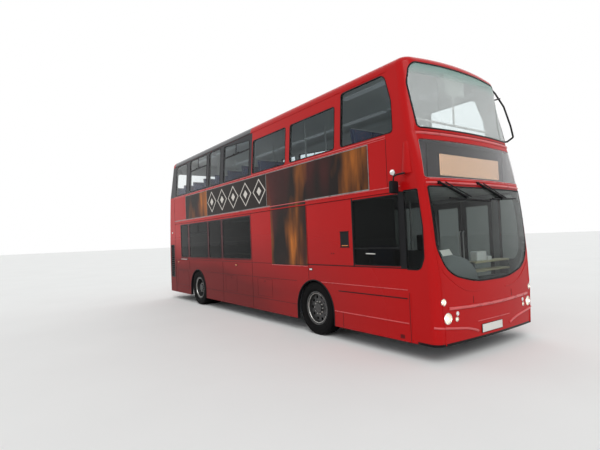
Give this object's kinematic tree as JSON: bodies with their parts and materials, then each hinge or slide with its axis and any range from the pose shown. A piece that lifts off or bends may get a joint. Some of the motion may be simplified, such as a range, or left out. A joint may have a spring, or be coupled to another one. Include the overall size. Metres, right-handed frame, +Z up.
{
  "type": "double decker bus",
  "caption": "Two-deck passenger bus with glazed body, steered front wheels, twin rear wheels, folding doorway leaves, stairs, seats and a rear engine lid.",
  "frame": {"origin": "on the ground below the middle of the body", "axes": "+X forward, +Y to the kerb side with the doors, +Z up"},
  "size_m": [10.6022, 2.95, 4.4],
  "materials": {
    "body_red": "gloss coach paint",
    "tinted_glass": "dark grey tint",
    "clear_glass": "light green tint",
    "black_glass": "black printed glass",
    "black_trim": "moulded black trim",
    "tyre": "matte tyre rubber",
    "steel_rim": "silver grey wheel paint",
    "chassis": "black chassis paint",
    "engine": "cast and dusty",
    "floor": "safety floor covering",
    "cab_grey": "moulded cab trim",
    "seat_shell": "moulded seat shell",
    "moquette": "patterned seat cloth",
    "handrail": "powder coated tube",
    "lamp_clear": "clear lens",
    "lamp_red": "red lens",
    "axle": "dirty black paint",
    "display": "dark display housing"
  },
  "bodies": {
    "body": {"branch_guard": "black_trim", "cab": "cab_grey", "chassis_frame": "chassis", "driver_seat": "seat_shell", "driver_seat_pads": "moquette", "engine_block": "engine", "front_axle": "axle", "front_bumper": "body_red", "front_lamps": "lamp_clear", "front_lower_panel": "body_red", "front_upper_panel": "body_red", "handrails": "handrail", "lower_floor": "floor", "lower_seat_frames": "seat_shell", "lower_seat_pads": "moquette", "mirrors": "black_trim", "rear_axle": "axle", "rear_glass": "tinted_glass", "rear_grilles": "black_trim", "rear_lamps": "lamp_red", "rear_lower_panel": "body_red", "rear_upper_panel": "body_red", "roof": "body_red", "side_glass_left": "tinted_glass", "side_glass_right": "tinted_glass", "side_lower_left": "body_red", "side_lower_right": "body_red", "side_upper_left": "body_red", "side_upper_right": "body_red", "sign_box": "display", "sign_glass": "black_glass", "staircase": "floor", "upper_floor": "floor", "upper_seat_frames": "seat_shell", "upper_seat_pads": "moquette", "windscreens": "clear_glass", "wipers": "black_trim"},
    "steered_left": {"knuckle_left": "axle"},
    "steered_right": {"knuckle_right": "axle"},
    "steering_rod": {"tie_rod": "axle"},
    "steering_wheel": {"steering_wheel": "black_trim"},
    "engine_door": {"engine_door": "body_red"},
    "front_wheel_left": {"front_tyre_left": "tyre", "front_rim_left": "steel_rim"},
    "front_wheel_right": {"front_tyre_right": "tyre", "front_rim_right": "steel_rim"},
    "rear_wheels_left": {"rear_tyres_left": "tyre", "rear_rims_left": "steel_rim"},
    "rear_wheels_right": {"rear_tyres_right": "tyre", "rear_rims_right": "steel_rim"},
    "front_door_aft": {"front_door_aft": "black_trim", "front_door_aft_glass": "tinted_glass"},
    "front_door_fore": {"front_door_fore": "black_trim", "front_door_fore_glass": "tinted_glass"},
    "exit_door_aft": {"exit_door_aft": "black_trim", "exit_door_aft_glass": "tinted_glass"},
    "exit_door_fore": {"exit_door_fore": "black_trim", "exit_door_fore_glass": "tinted_glass"}
  },
  "joints": [
    {"name": "steer_left", "type": "hinge", "parent": "body", "child": "steered_left", "pos_m": [2.59, 0.93, 0.4785], "axis": [0, 0, 1], "range_deg": [-38, 38]},
    {"name": "steer_right", "type": "hinge", "parent": "body", "child": "steered_right", "pos_m": [2.59, -0.93, 0.4785], "axis": [0, 0, 1], "range_deg": [-38, 38]},
    {"name": "tie_rod_swing", "type": "hinge", "parent": "steered_left", "child": "steering_rod", "pos_m": [2.39, 0.93, 0.205], "axis": [0, 0, 1], "range_deg": [-38, 38]},
    {"name": "steering_wheel_turn", "type": "hinge", "parent": "body", "child": "steering_wheel", "pos_m": [4.4, -0.62, 1.12], "axis": [-0.5592, 0, 0.829], "range_deg": [-684, 684]},
    {"name": "front_wheel_left_spin", "type": "hinge", "parent": "steered_left", "child": "front_wheel_left", "pos_m": [2.59, 1.1, 0.4785], "axis": [0, 1, 0], "continuous": true},
    {"name": "front_wheel_right_spin", "type": "hinge", "parent": "steered_right", "child": "front_wheel_right", "pos_m": [2.59, -1.1, 0.4785], "axis": [0, 1, 0], "continuous": true},
    {"name": "rear_wheels_left_spin", "type": "hinge", "parent": "body", "child": "rear_wheels_left", "pos_m": [-2.84, 1.1, 0.4785], "axis": [0, 1, 0], "continuous": true},
    {"name": "rear_wheels_right_spin", "type": "hinge", "parent": "body", "child": "rear_wheels_right", "pos_m": [-2.84, -1.1, 0.4785], "axis": [0, 1, 0], "continuous": true},
    {"name": "front_door_aft_swing", "type": "hinge", "parent": "body", "child": "front_door_aft", "pos_m": [3.439, 1.235, 1.345], "axis": [0, 0, -1], "range_deg": [0, 88]},
    {"name": "front_door_fore_swing", "type": "hinge", "parent": "body", "child": "front_door_fore", "pos_m": [4.601, 1.235, 1.345], "axis": [0, 0, 1], "range_deg": [0, 88]},
    {"name": "exit_door_aft_swing", "type": "hinge", "parent": "body", "child": "exit_door_aft", "pos_m": [0.399, 1.235, 1.345], "axis": [0, 0, -1], "range_deg": [0, 88]},
    {"name": "exit_door_fore_swing", "type": "hinge", "parent": "body", "child": "exit_door_fore", "pos_m": [1.521, 1.235, 1.345], "axis": [0, 0, 1], "range_deg": [0, 88]},
    {"name": "engine_door_lift", "type": "hinge", "parent": "body", "child": "engine_door", "pos_m": [-5.283, 0, 1.62], "axis": [0, 1, 0], "range_deg": [0, 80]}
  ],
  "couplings": [
    {"joint": "steer_right", "follows": "steer_left", "ratio": 1},
    {"joint": "tie_rod_swing", "follows": "steer_left", "ratio": -1},
    {"joint": "steering_wheel_turn", "follows": "steer_left", "ratio": 18},
    {"joint": "front_door_aft_swing", "follows": "front_door_fore_swing", "ratio": 1},
    {"joint": "exit_door_aft_swing", "follows": "exit_door_fore_swing", "ratio": 1}
  ]
}
